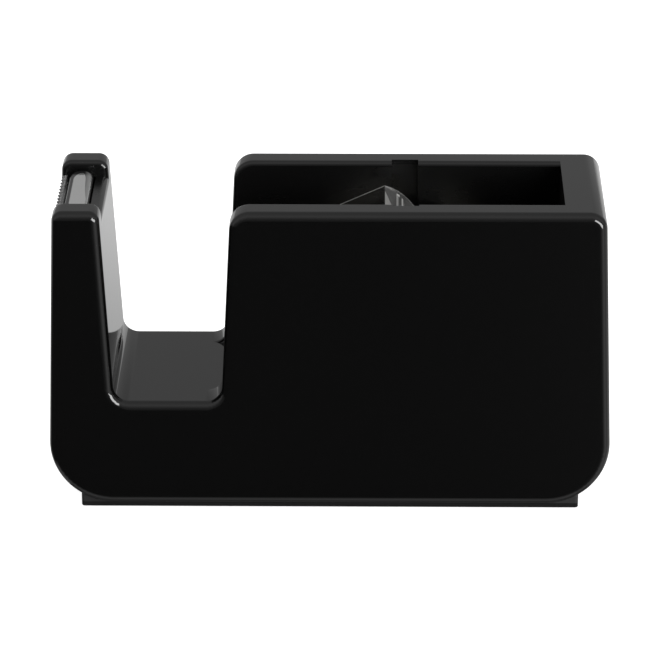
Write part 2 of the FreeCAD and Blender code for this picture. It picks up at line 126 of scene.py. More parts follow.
class Bench:
    """Builds nodes in one tree."""

    def __init__(self, tree: bpy.types.NodeTree) -> None:
        """Take a node tree and empty it."""
        self.tree = tree
        tree.nodes.clear()

    def node(self, kind: str, settings: dict[str, Any], inputs: dict[Any, Any]) -> Node:
        """Add any node, set it up and then feed it.

        Args:
            kind: The node's type.
            settings: Its properties; "stops" holds the place and grey of each stop of a ramp.
            inputs: Values or links, by the socket's name or number.

        Returns:
            The node.
        """
        made = self.tree.nodes.new(kind)
        for name, value in settings.items():
            if name == "stops":
                stops = made.color_ramp.elements
                for _ in value[2:]:
                    stops.new(1.0)
                for stop, (place, tone) in zip(stops, value):
                    stop.position, stop.color = place, (tone, tone, tone, 1.0)
            else:
                setattr(made, name, value)
        for key, value in inputs.items():
            self.feed(made.inputs[key], value)
        return made

    def feed(self, socket: bpy.types.NodeSocket, value: Any) -> None:
        """Link or set one input.

        Args:
            socket: The input.
            value: A signal, a node, a number, a colour or a vector.
        """
        if isinstance(value, Signal):
            self.tree.links.new(value.socket, socket)
        elif isinstance(value, Node):
            self.tree.links.new(value.outputs[0], socket)
        elif isinstance(value, tuple) and socket.type == "RGBA" and len(value) == 3:
            socket.default_value = (*value, 1.0)
        else:
            socket.default_value = value

    def out(self, made: Node, key: Any = 0) -> Signal:
        """One output of a node as a signal."""
        return Signal(self, made.outputs[key])

    def coat(self, surface: Node, **looks: Any) -> None:
        """Feed inputs of a surface shader, written in lower case with underscores."""
        for name, value in looks.items():
            self.feed(surface.inputs[name.replace("_", " ").title()], value)

    def place(self, scale: Triple = (1.0, 1.0, 1.0), centre: Triple = (0.0, 0.0, 0.0)) -> Signal:
        """The point being shaded in the piece's own frame, with the centre at zero and then scaled."""
        point = self.out(self.node("ShaderNodeTexCoord", {}, {}), "Object")
        return self.out(self.node("ShaderNodeMapping", {}, {
            "Vector": point, "Location": tuple(-c * s for c, s in zip(centre, scale)), "Scale": scale}))

    def axes(self, vector: Signal) -> list[Signal]:
        """The three numbers of a vector."""
        split = self.node("ShaderNodeSeparateXYZ", {}, {0: vector})
        return [self.out(split, i) for i in range(3)]

    def rings(self, point: Signal) -> Signal:
        """The distance from the Y axis, as a vector for noise that runs in rings."""
        x, _, z = self.axes(point)
        return self.out(self.node("ShaderNodeCombineXYZ", {}, {0: (x * x + z * z) ** 0.5}))

    def rays(self) -> tuple[Signal, Signal]:
        """Two masks: 1 for rays that see the plain white background, and 1 for glossy rays."""
        path = self.node("ShaderNodeLightPath", {}, {})
        seen = self.out(path, "Is Camera Ray").most(self.out(path, "Is Transmission Ray"))
        return seen, self.out(path, "Is Glossy Ray")

    def normal(self) -> list[Signal]:
        """The three numbers of the surface's direction."""
        return self.axes(self.out(self.node("ShaderNodeNewGeometry", {}, {}), "Normal"))

    def noise(self, vector: Signal, scale: float, detail: float = 3.0, rough: float = 0.5) -> Signal:
        """Soft noise from 0 to 1: waves per metre, octaves and the weight of the finer octaves."""
        return self.out(self.node("ShaderNodeTexNoise", {}, {
            "Vector": vector, "Scale": scale, "Detail": detail, "Roughness": rough}))

    def cells(self, vector: Signal, scale: float) -> Signal:
        """Distance to the middle of the nearest cell, with so many cells per metre."""
        return self.out(self.node("ShaderNodeTexVoronoi", {}, {"Vector": vector, "Scale": scale}))

    def between(self, amount: Any, first: Any, second: Any) -> Signal:
        """A blend of two colours: the first at 0 and the second at 1."""
        mix = self.node("ShaderNodeMix", {"data_type": "RGBA"}, {0: amount, 6: first, 7: second})
        return self.out(mix, 2)

    def bump(self, height: Signal, depth: float, strength: float = 1.0) -> Signal:
        """A normal from a height, where a height of 1 measures the depth in metres."""
        return self.out(self.node("ShaderNodeBump", {}, {
            "Height": height, "Distance": depth, "Strength": strength}))


# ---- finishes
@dataclass(frozen=True)
class Finish:
    """One material: its name, its colour and its gloss."""

    name: str
    color: Triple
    roughness: float = 0.4
    metallic: float = 0.0
    ior: float = 1.5

    def build(self) -> bpy.types.Material:
        """Make the material, once for each name.

        Returns:
            The material.
        """
        found = bpy.data.materials.get(self.name)
        if found is not None:
            return found
        material = bpy.data.materials.new(self.name)
        material.use_nodes = True
        material.diffuse_color = (*self.color, 1.0)
        bench = Bench(material.node_tree)
        surface = bench.node("ShaderNodeBsdfPrincipled", {}, {
            "Base Color": self.color, "Roughness": self.roughness,
            "Metallic": self.metallic, "IOR": self.ior})
        bench.node("ShaderNodeOutputMaterial", {}, {"Surface": surface})
        self.detail(bench, surface)
        return material

    def detail(self, bench: Bench, surface: Node) -> None:
        """Add what varies over the surface; each kind of finish does this its own way.

        Args:
            bench: The material's bench.
            surface: The surface shader.
        """


@dataclass(frozen=True)
class PianoBlack(Finish):
    """Polished moulding outside, with a satin skin inside the bay and round the cutter."""

    ripple: float = 0.0000012
    ripple_scale: float = 55.0
    hairline: float = 0.00000025
    hair_stretch: Triple = (18.0, 260.0, 900.0)
    hair_scale: float = 14.0
    wipe_stretch: Triple = (9.0, 30.0, 60.0)
    wipe_scale: float = 11.0
    smear_scale: float = 34.0
    polish: float = 0.028
    satin: float = 0.19
    satin_scale: float = 4200.0
    satin_share: float = 3.0
    dust_scale: float = 1500.0
    drift_scale: float = 420.0
    dust_share: float = 0.25
    inner_half: float = 0.0154
    notch_half: float = 0.0148
    rim_z: float = 0.0784
    rim_fade: float = 0.0006
    room_fade: float = 0.0002
    dust_color: Triple = (0.16, 0.16, 0.155)
    room_color: Triple = (0.0034, 0.0034, 0.0034)
    # painted shade: the satin skin turns to this darker colour towards the back and bottom of the rear pocket
    pocket_shade_color: Triple = (0.0004, 0.0004, 0.0004)
    pocket_shade_from: Pair = (0.017, 0.025)
    pocket_shade_down: Pair = (0.0785, 0.0675)
    rooms: tuple[Triple, ...] = ((-0.0240, 0.0665, 0.004), (-0.0670, -0.0567, 0.0640))

    def inside(self, bench: Bench, point: Signal) -> Signal:
        """1 where the surface lies in one of the rooms, each from a left X to a right X and above a low Z.

        Args:
            bench: The material's bench.
            point: The position.

        Returns:
            The mask.
        """
        x, y, z = bench.axes(point)
        mask: Any = 0.0
        fade = self.room_fade
        for left, right, low in self.rooms:
            along = x.stepped(left, left + fade) * x.stepped(right, right - fade)
            mask = along * z.stepped(low, low + fade) + mask
        aside = y * y
        in_notch = aside.stepped(self.notch_half ** 2, self.inner_half ** 2)
        under_rim = z.stepped(self.rim_z, self.rim_z - self.rim_fade)
        return (mask * aside.below(self.inner_half ** 2) * under_rim.most(in_notch)).stepped(0.0, 1.0)

    def detail(self, bench: Bench, surface: Node) -> None:
        """Ripple, hairlines and dust outside, and a satin skin inside with painted shade that darkens it into
        the rear pocket.
        """
        point = bench.place()
        inside = self.inside(bench, point)
        waves = bench.noise(point, self.ripple_scale, 1.0)
        hairs = bench.noise(bench.place(self.hair_stretch), self.hair_scale, 2.0)
        grain = bench.noise(point, self.satin_scale, 2.0) * inside * self.satin_share
        height = waves + hairs * (self.hairline / self.ripple) + grain
        smear = bench.noise(point, self.smear_scale, 4.0, 0.6)
        wiped = bench.noise(bench.place(self.wipe_stretch), self.wipe_scale, 3.0)
        polished = self.polish + smear * 0.03 + wiped * 0.02
        up = bench.normal()[2]
        specks = bench.cells(point, self.dust_scale).stepped(0.12, 0.02)
        drift = bench.noise(point, self.drift_scale, 2.0).stepped(0.62, 0.7)
        dust = specks * drift * up.stepped(0.5, 0.95) * self.dust_share
        x, _, z = bench.axes(point)
        # painted shade deep in the rear pocket, growing towards its back and its bottom
        depth = x.stepped(*self.pocket_shade_from) * z.stepped(*self.pocket_shade_down)
        shaded_room = bench.between(depth, self.room_color, self.pocket_shade_color)
        moulded = bench.between(inside, self.color, shaded_room)
        bench.coat(surface, normal=bench.bump(height, self.ripple),
                   roughness=polished + inside * (self.satin + smear * 0.06),
                   base_color=bench.between(dust, moulded, self.dust_color))


@dataclass(frozen=True)
class MouldedSatin(Finish):
    """Plain moulded plastic with a fine spark-eroded grain."""

    grain: float = 0.000012
    grain_scale: float = 5200.0
    cloud_scale: float = 130.0

    def detail(self, bench: Bench, surface: Node) -> None:
        """Grain, and slight unevenness of tone and gloss."""
        point = bench.place()
        grain = bench.noise(point, self.grain_scale, 2.0)
        cloud = bench.noise(point, self.cloud_scale, 4.0)
        pale = tuple(c * 1.35 + 0.002 for c in self.color)
        bench.coat(surface, normal=bench.bump(grain, self.grain),
                   roughness=self.roughness - 0.05 + cloud * 0.1,
                   base_color=bench.between(cloud, self.color, pale))


@dataclass(frozen=True)
class FoamRubber(Finish):
    """Closed-cell sheet: small open cells all over."""

    cell_scale: float = 2400.0
    cell_depth: float = 0.00012
    worn_scale: float = 60.0
    worn_color: Triple = (0.025, 0.025, 0.024)

    def detail(self, bench: Bench, surface: Node) -> None:
        """Cells of mixed size, with painted shade darkening their hollows."""
        point = bench.place()
        small = bench.cells(point, self.cell_scale)
        large = bench.cells(point, self.cell_scale * 0.42)
        hollow = small * 0.6 + large * 0.4
        worn = bench.noise(point, self.worn_scale, 4.0)
        # painted shade: the colour in the cell hollows, darker than the foam's own
        painted_hollow_shade = tuple(c * 0.45 for c in self.color)
        tone = bench.between(hollow.stepped(0.1, 0.5), painted_hollow_shade, self.color)
        bench.coat(surface, normal=bench.bump(hollow, self.cell_depth, 0.7), roughness=0.75 + worn * 0.2,
                   base_color=bench.between(worn * 0.3, tone, self.worn_color))


@dataclass(frozen=True)
class PolishedSteel(Finish):
    """Bright bar stock: a mirror with faint draw lines along Y, and a black rim of painted reflection that is
    partly lit on the right.
    """

    centre: Triple = (0.0, 0.0, 0.0)
    bright_half: float = 0.0020
    straight_half: float = 0.0
    bright_end: float = 0.0040
    near_end: float = 0.0012
    narrowing: float = 1.3
    # painted reflection: the rim round the top is a black, non-metal colour standing for the dark things its
    # fillets mirror, and the right side is made partly metal as painted light
    right_rim_painted_light: float = 0.34
    right_rim_light_from: Pair = (0.0005, 0.0018)
    rim_reflection_color: Triple = (0.012, 0.012, 0.012)
    line_scale: float = 9000.0
    line_depth: float = 0.0000004
    smear_scale: float = 260.0

    def bright(self, bench: Bench) -> Signal:
        """1 over the bright middle of the top, and 0 over its black rim of painted reflection.

        Args:
            bench: The material's bench.

        Returns:
            The mask.
        """
        x, y, _ = bench.axes(bench.place(centre=self.centre))
        far = (y - self.straight_half).most(0.0) / self.bright_end
        near = (y * -1.0 - self.straight_half - self.bright_end + self.near_end).most(0.0) / self.near_end
        narrowed = 1.0 + y.stepped(-self.straight_half, self.straight_half + self.bright_end) * self.narrowing
        across = ((x * -1.0).most(0.0) + x.most(0.0) * narrowed) / self.bright_half
        beyond = far + near
        return (across * across + beyond * beyond).stepped(1.12, 0.84, True)

    def detail(self, bench: Bench, surface: Node) -> None:
        """Draw lines, a few finger smears in the gloss, and the rim of painted reflection, black with painted
        light on its right side.
        """
        lines = bench.noise(bench.place((1.0, 0.02, 1.0)), self.line_scale, 2.0)
        smear = bench.noise(bench.place(), self.smear_scale, 4.0, 0.6)
        shade = tuple(c * 0.93 for c in self.color)
        x = bench.axes(bench.place(centre=self.centre))[0]
        bright = self.bright(bench).most(x.stepped(*self.right_rim_light_from) * self.right_rim_painted_light)
        metal = bench.between(smear, shade, self.color)
        bench.coat(surface, normal=bench.bump(lines, self.line_depth), metallic=bright,
                   roughness=0.05 + lines * 0.05 + smear * 0.05,
                   base_color=bench.between(bright, self.rim_reflection_color, metal))


@dataclass(frozen=True)
class RolledSteel(Finish):
    """Thin bright strip: rolling lines along Y, and grinding lines up the teeth."""

    tooth_line: float = -0.0664
    bend_line: float = -0.0659
    root_fade: float = 0.0001
    line_scale: float = 7000.0
    grinding_scale: float = 11000.0
    line_depth: float = 0.0000022
    pit_scale: float = 1800.0
    speck_scale: float = 5600.0
    pit_color: Triple = (0.4, 0.4, 0.4)
    # painted shade: a darker band on the lip behind the teeth, where shade falls at the blade's root
    root_shade_color: Triple = (0.2, 0.2, 0.2)
    tooth_colors: tuple[Triple, Triple] = ((0.6, 0.6, 0.6), (1.0, 1.0, 1.0))

    def detail(self, bench: Bench, surface: Node) -> None:
        """Rolling lines, coarser grinding on the teeth, small pits, and painted shade on the lip between the
        teeth and the bend.
        """
        point = bench.place()
        along = bench.noise(bench.place((1.0, 0.03, 1.0)), self.line_scale, 3.0)
        ground = bench.noise(bench.place((0.05, 1.0, 0.05)), self.grinding_scale, 2.0)
        x = bench.axes(point)[0]
        on_teeth = x.below(self.tooth_line)
        painted_root_shade = x.stepped(self.tooth_line, self.tooth_line + self.root_fade)
        painted_root_shade = painted_root_shade * x.stepped(self.bend_line, self.bend_line - self.root_fade)
        height = along * (1.0 - on_teeth) + ground * on_teeth
        pits = bench.noise(point, self.pit_scale, 2.0).stepped(0.66, 0.74)
        speck = bench.noise(point, self.speck_scale, 1.0).stepped(0.35, 0.65)
        teeth = bench.between(speck, *self.tooth_colors)
        tone = bench.between(painted_root_shade, bench.between(on_teeth, self.color, teeth), self.root_shade_color)
        bench.coat(surface, normal=bench.bump(height, self.line_depth),
                   roughness=0.13 + height * 0.12 + pits * 0.2 + on_teeth * 0.25,
                   base_color=bench.between(pits * 0.4, tone, self.pit_color))


@dataclass(frozen=True)
class Mottled(Finish):
    """An uneven surface of two tones, such as zinc plating or the cut edge of a film."""

    other_color: Triple = (0.42, 0.43, 0.44)
    scale: float = 900.0
    octaves: float = 4.0
    fineness: float = 0.6
    unevenness: float = 0.2
    depth: float = 0.000004

    def detail(self, bench: Bench, surface: Node) -> None:
        """Patches of both tones and of uneven gloss."""
        mottle = bench.noise(bench.place(), self.scale, self.octaves, self.fineness)
        bench.coat(surface, roughness=self.roughness + mottle * self.unevenness,
                   base_color=bench.between(mottle, self.color, self.other_color))
        if self.depth:
            bench.coat(surface, normal=bench.bump(mottle, self.depth))


@dataclass(frozen=True)
class SandCast(Finish):
    """Cast iron: sand grain, scale and a trace of rust."""

    sand_scale: float = 1900.0
    lump_scale: float = 260.0
    depth: float = 0.00016
    rust_color: Triple = (0.11, 0.055, 0.03)

    def detail(self, bench: Bench, surface: Node) -> None:
        """Coarse grain with rust in the low places."""
        point = bench.place()
        sand = bench.noise(point, self.sand_scale, 5.0, 0.65)
        lumps = bench.noise(point, self.lump_scale, 3.0)
        rust = (lumps * sand).stepped(0.3, 0.42)
        bench.coat(surface, normal=bench.bump(sand * 0.6 + lumps, self.depth),
                   roughness=0.55 + rust * 0.3, metallic=0.75 - rust * 0.6,
                   base_color=bench.between(rust * 0.5, self.color, self.rust_color))


@dataclass(frozen=True)
class CoreBoard(Finish):
    """The ring inside the tape: plies of pressed fibre."""

    axle: Triple = (0.0, 0.0, 0.0)
    fibre_scale: float = 1500.0
    ply_scale: float = 7200.0
    depth: float = 0.00003
    fibre_color: Triple = (0.6, 0.56, 0.48)

    def detail(self, bench: Bench, surface: Node) -> None:
        """Fibres along the ring, fine plies on its two edges."""
        point = bench.place(centre=self.axle)
        fibres = bench.noise(point, self.fibre_scale, 5.0, 0.7)
        plies = bench.noise(bench.rings(point), self.ply_scale, 1.0)
        bench.coat(surface, normal=bench.bump(fibres + plies, self.depth), roughness=0.7 + fibres * 0.2,
                   base_color=bench.between(fibres, self.color, self.fibre_color))


@dataclass(frozen=True)
class WoundFilm(Finish):
    """Clear film wound on itself: cloudy from the side, glassy on the outside."""

    axle: Triple = (0.0, 0.0, 0.0)
    turns_scale: float = 5580.0
    broad_scale: float = 520.0
    air_scale: float = 190.0
    depth: float = 0.00003
    cloudy_color: Triple = (0.74, 0.72, 0.66)
    outer_color: Triple = (0.50, 0.48, 0.42)
    air_color: Triple = (0.66, 0.65, 0.6)

    def detail(self, bench: Bench, surface: Node) -> None:
        """Rings on the two wound faces, and trapped air under the outer turn."""
        ring_place = bench.rings(bench.place(centre=self.axle))
        rings = bench.noise(ring_place, self.turns_scale, 3.0, 0.7)
        broad = bench.noise(ring_place, self.broad_scale, 2.0)
        air_place = bench.place((1.0, 0.5, 1.0), self.axle)
        air = bench.noise(air_place, self.air_scale, 4.0, 0.6).stepped(0.5, 0.62)
        side = bench.normal()[1]
        face = (side * side).stepped(0.5, 0.9)
        shade = bench.between(rings * 0.55 + broad * 0.45, self.color, self.cloudy_color)
        outer = bench.between(air, self.outer_color, self.air_color)
        bench.coat(surface, normal=bench.bump(rings * face + air * 0.2, self.depth),
                   roughness=0.12 + face * 0.35 + air * 0.12, base_color=bench.between(face, outer, shade))


@dataclass(frozen=True)
class LooseFilm(Finish):
    """One thickness of clear film: nearly invisible past the crease; where it climbs off the roll, hazier as
    painted reflection, with painted highlights.
    """

    crease_x: float = 0.0
    depth: float = 0.00006
    painted_light_color: Triple = (0.8, 0.8, 0.78)
    facet_top: float = 0.0066
    facet_slope: float = 5.1
    highlight_crest: Pair = (0.0078, 0.0088)
    pull_scale: float = 1100.0
    haze_scale: float = 300.0
    end_fade: float = 0.0003
    # each painted highlight streak: from X, to X, from Y, to Y, brightness
    highlight_streaks: tuple[tuple[float, float, float, float, float], ...] = (
        (0.0029, 0.0033, -0.01, 0.0070, 0.5), (0.0030, 0.0036, 0.0064, 0.0072, 1.0),
        (0.0042, 0.0045, -0.01, 0.0062, 0.8), (0.0046, 0.0049, -0.01, 0.0040, 0.25))

    def detail(self, bench: Bench, surface: Node) -> None:
        """Clear past the crease; before it, haze as painted reflection, and painted highlights on a facet,
        the crest, streaks and pulled lines.
        """
        point = bench.place(centre=(self.crease_x, 0.0, 0.0))
        x, y, _ = bench.axes(point)
        climbing = x.stepped(-0.0001, 0.0001)
        pulled = bench.noise(bench.place((1.0, 0.03, 0.2)), self.pull_scale, 2.0).stepped(0.42, 0.72)
        # painted highlights: a lighter facet triangle, the crest, the streaks and the pulled lines lighten
        # both the colour and the opacity
        highlight_facet = (self.facet_top - x * self.facet_slope - y).stepped(0.0, 0.0006) * 0.4
        highlight_crest = (y + x * 0.2).stepped(*self.highlight_crest)
        lights = highlight_facet.most(highlight_crest * x.stepped(0.003, 0.0015) * 0.35)
        for left, right, near, far, share in self.highlight_streaks:
            bar = x.stepped(left - 0.0001, left) * x.stepped(right + 0.0001, right)
            bar = bar * y.stepped(near - self.end_fade, near) * y.stepped(far + self.end_fade, far)
            lights = lights.most(bar * share)
        haze = bench.noise(point, self.haze_scale, 3.0)
        lights = lights.most(pulled * x.stepped(0.0045, 0.006) * 0.3)
        # the climbing part is made hazier and more opaque as painted reflection, and the painted highlights
        # lighten it further
        bench.coat(surface, alpha=(climbing * (0.34 + lights * 0.6) + 0.01).stepped(0.0, 1.0),
                   base_color=bench.between(climbing * lights, self.color, self.painted_light_color),
                   normal=bench.bump(pulled + haze * 0.3, self.depth), roughness=0.08 + climbing * 0.12)


# ---- mesh work
class Edge(Enum):
    """How the sharp edges of a piece are broken, as a bevel in metres."""

    CRISP = 0.0
    CUT = 0.00008
    MOULDED = 0.00018
    CAST = 0.0006


@dataclass
class Copyist:
    """Makes clean, smooth-shaded copies of the frame's pieces."""

    merge_m: float = 0.000002
    coplanar_deg: float = 0.06
    sharp_deg: float = 32.0
    broad_ratio: float = 2.2
    bevel_steps: int = 2

    def copy(self, node: str, name: str, body: str, slot: str, finish: Finish,
             edge: Edge = Edge.CRISP) -> Object:
        """Copy one frame piece, join its triangles, shade it smooth and give it its finish.

        Args:
            node: The frame piece that the copy stands for.
            name: The copy's name.
            body: The body that it rides on.
            slot: A material slot name, which is only logged.
            finish: Its finish.
            edge: How its sharp edges are broken.

        Returns:
            The copy.
        """
        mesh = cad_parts[node].data.copy()
        made = bmesh.new()
        made.from_mesh(mesh)
        copied = self.finish(name, made, edge)
        bpy.data.meshes.remove(mesh)
        self.enrol(copied, body, slot, node)
        copied.data.materials.clear()
        copied.data.materials.append(finish.build())
        return copied

    def finish(self, name: str, made: BMesh, edge: Edge = Edge.CRISP) -> Object:
        """Turn a raw mesh into an object whose flat faces stay flat in the light.

        Args:
            name: The object's name.
            made: The raw mesh, which is used up.
            edge: How its sharp edges are broken.

        Returns:
            The object.
        """
        bmesh.ops.remove_doubles(made, verts=made.verts, dist=self.merge_m)
        bmesh.ops.dissolve_degenerate(made, edges=made.edges, dist=self.merge_m)
        bmesh.ops.dissolve_limit(made, angle_limit=radians(self.coplanar_deg),
                                 verts=made.verts, edges=made.edges)
        made.normal_update()
        made.faces.ensure_lookup_table()
        normals = self.corner_normals(made)
        mesh = bpy.data.meshes.new(name)
        made.to_mesh(mesh)
        made.free()
        mesh.shade_smooth()
        piece = put(name, mesh)
        if edge is Edge.CRISP:
            mesh.normals_split_custom_set(normals)
        else:
            mesh.set_sharp_from_angle(angle=radians(self.sharp_deg))
            bevel = piece.modifiers.new("broken_edges", "BEVEL")
            bevel.width, bevel.segments = edge.value, self.bevel_steps
            bevel.limit_method, bevel.angle_limit = "ANGLE", radians(self.sharp_deg)
            self.weigh_normals(piece)
        return piece

    def corner_normals(self, made: BMesh) -> list[Vector]:
        """A normal for every face corner: broad faces keep theirs, and narrow ones lead from one to the next.

        Args:
            made: The mesh, its flat areas joined.

        Returns:
            The normals, in the order of the corners.
        """
        limit = cos(radians(self.sharp_deg))
        width = {face: 2 * face.calc_area() / sum(e.calc_length() for e in face.edges) for face in made.faces}
        broad = set()
        for face in made.faces:
            beside = [other for e in face.edges for other in e.link_faces
                      if other is not face and other.normal.dot(face.normal) > limit]
            if all(width[face] > self.broad_ratio * width[other] for other in beside):
                broad.add(face)
        normals = []
        for face in made.faces:
            for corner in face.loops:
                if face in broad:
                    normals.append(face.normal.copy())
                    continue
                near = [f for f in corner.vert.link_faces if f.normal.dot(face.normal) > limit]
                leading = [f for f in near if f in broad]
                total = Vector()
                for other in leading or near:
                    total += other.normal * (1.0 if leading else width[other])
                normals.append(total.normalized())
        return normals

    @staticmethod
    def weigh_normals(piece: Object) -> None:
        """Keep broad faces flat in the light beside their rounded edges."""
        weigh = piece.modifiers.new("flat_faces", "WEIGHTED_NORMAL")
        weigh.mode, weigh.weight, weigh.keep_sharp = "FACE_AREA", 100, True

    @staticmethod
    def enrol(piece: Object, body: str, slot: str, node: str) -> None:
        """Parent a piece to its body's empty, hide the frame piece it stands for, and log its slot name.

        Args:
            piece: The piece.
            body: The body it rides on.
            slot: A material slot name, which is only logged.
            node: The frame piece it stands for.
        """
        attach(piece, body)
        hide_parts(node)
        log.info("%s on %s, finish %s, %d faces", piece.name, body, slot, len(piece.data.polygons))


def skin(made: BMesh, rings: list[list[bmesh.types.BMVert]]) -> None:
    """Join each closed ring of points to the next with four-sided faces.

    Args:
        made: The mesh that gets the faces.
        rings: The rings, with as many points each.
    """
    for first, second in zip(rings, rings[1:]):
        for i in range(len(first)):
            j = (i + 1) % len(first)
            made.faces.new((first[i], first[j], second[j], second[i]))


def settled(made: BMesh, name: str) -> bpy.types.Mesh:
    """Turn a raw mesh's faces outwards and keep it.

    Args:
        made: The raw mesh, which is used up.
        name: The kept mesh's name.

    Returns:
        The kept mesh.
    """
    bmesh.ops.recalc_face_normals(made, faces=made.faces)
    mesh = bpy.data.meshes.new(name)
    made.to_mesh(mesh)
    made.free()
    return mesh


@dataclass
class GrownMesh:
    """A Geometry Nodes tree that is run once on a seed mesh and kept as a plain mesh."""

    name: str
    seed: bpy.types.Mesh
    sizes: dict[str, float]

    def start(self) -> tuple[Bench, dict[str, Signal]]:
        """Start the tree with its seed mesh and named sizes.

        Returns:
            The tree's bench, and the seed and the sizes by name.
        """
        tree = bpy.data.node_groups.new(self.name, "GeometryNodeTree")
        tree.interface.new_socket("Seed", in_out="INPUT", socket_type="NodeSocketGeometry")
        for size in self.sizes:
            tree.interface.new_socket(size, in_out="INPUT", socket_type="NodeSocketFloat")
        tree.interface.new_socket("Mesh", in_out="OUTPUT", socket_type="NodeSocketGeometry")
        bench = Bench(tree)
        inputs = bench.node("NodeGroupInput", {}, {})
        return bench, {name: bench.out(inputs, name) for name in ("Seed", *self.sizes)}

    def grow(self, bench: Bench, seed: Signal, repeated: Node, finish: Finish) -> Object:
        """End the tree with real geometry in its finish, and run it.

        Args:
            bench: The tree's bench.
            seed: The seed mesh in the tree.
            repeated: The node whose instances join the seed.
            finish: The finish of both.

        Returns:
            An object that holds the plain mesh.
        """
        joined = bench.node("GeometryNodeJoinGeometry", {}, {0: seed})
        bench.feed(joined.inputs[0], repeated)
        real = bench.node("GeometryNodeRealizeInstances", {}, {0: joined})
        dressed = bench.node("GeometryNodeSetMaterial", {}, {"Geometry": real, "Material": finish.build()})
        bench.node("NodeGroupOutput", {}, {0: dressed})
        seedling = put(self.name + "_seed", self.seed)
        modifier = seedling.modifiers.new(self.name, "NODES")
        modifier.node_group = bench.tree
        sockets = {s.name: s.identifier for s in bench.tree.interface.items_tree if s.in_out == "INPUT"}
        for size, value in self.sizes.items():
            modifier[sockets[size]] = value
        graph = bpy.context.evaluated_depsgraph_get()
        mesh = bpy.data.meshes.new_from_object(seedling.evaluated_get(graph), depsgraph=graph)
        mesh.name = self.name
        seedling.modifiers.clear()
        bpy.data.objects.remove(seedling)
        return put(self.name, mesh)


# ---- the finishes in use
AXLE = tuple(spread("tape_roll")[0])
BAR_MIDDLE, BAR_HALF = spread("landing_bar")
BAR_SHIFT = Vector((0.0003, 0.0, 0.0))
# width of the black rim of painted reflection round the bar's top
BAR_PAINTED_RIM = 0.0022
BODY_BLACK = PianoBlack("housing_gloss", (0.0029, 0.0029, 0.0029), 0.04)
PLATE_BLACK = MouldedSatin("cover_satin", (0.012, 0.012, 0.0122), 0.5)
HUB_BLACK = MouldedSatin("spool_satin", (0.012, 0.012, 0.0124), 0.28, grain=0.000005)
PAD_RUBBER = FoamRubber("pad_foam", (0.011, 0.011, 0.0113), 0.85, ior=1.2)
SCREW_ZINC = Mottled("zinc_plating", (0.62, 0.62, 0.63), 0.25, 1.0)
WEIGHT_IRON = SandCast("cast_weight", (0.085, 0.085, 0.088), 0.6, 0.75)
BAR_STEEL = PolishedSteel("polished_bar", (0.74, 0.74, 0.735), 0.08, 1.0,
                          centre=tuple(BAR_MIDDLE + BAR_SHIFT),
                          straight_half=BAR_HALF.y - BAR_PAINTED_RIM - PolishedSteel.bright_end)
BLADE_STEEL = RolledSteel("rolled_strip", (0.66, 0.66, 0.66), 0.2, 1.0)
CORE_WHITE = CoreBoard("core_board", (0.78, 0.76, 0.71), 0.75, axle=AXLE)
TAPE_WOUND = WoundFilm("wound_film", (0.52, 0.50, 0.43), 0.3, axle=AXLE)
TAPE_EDGE = Mottled("film_edge", (0.92, 0.92, 0.9), 0.3, other_color=(0.5, 0.5, 0.48), octaves=2.0,
                    fineness=0.5, depth=0.0)


# ---- sub-assemblies
@dataclass
class Housing:
    """The black moulding and everything under it."""

    copyist: Copyist

    def build(self) -> None:
        """Finish the moulding, its base plate, the pad, the weight and the screws."""
        copy = self.copyist.copy
        copy("body_shell", "housing_skin", "base", "body_black", BODY_BLACK)
        copy("base_plate", "base_cover", "base", "plate_black", PLATE_BLACK, Edge.CUT)
        copy("non_slip_pad", "desk_pad", "base", "pad_rubber", PAD_RUBBER)
        copy("ballast", "cast_weight", "base", "weight_iron", WEIGHT_IRON, Edge.CAST)
        for node in ("base_screws", "weight_screws", "holder_screws"):
            copy(node, node + "_plated", "base", "screw_steel", SCREW_ZINC)


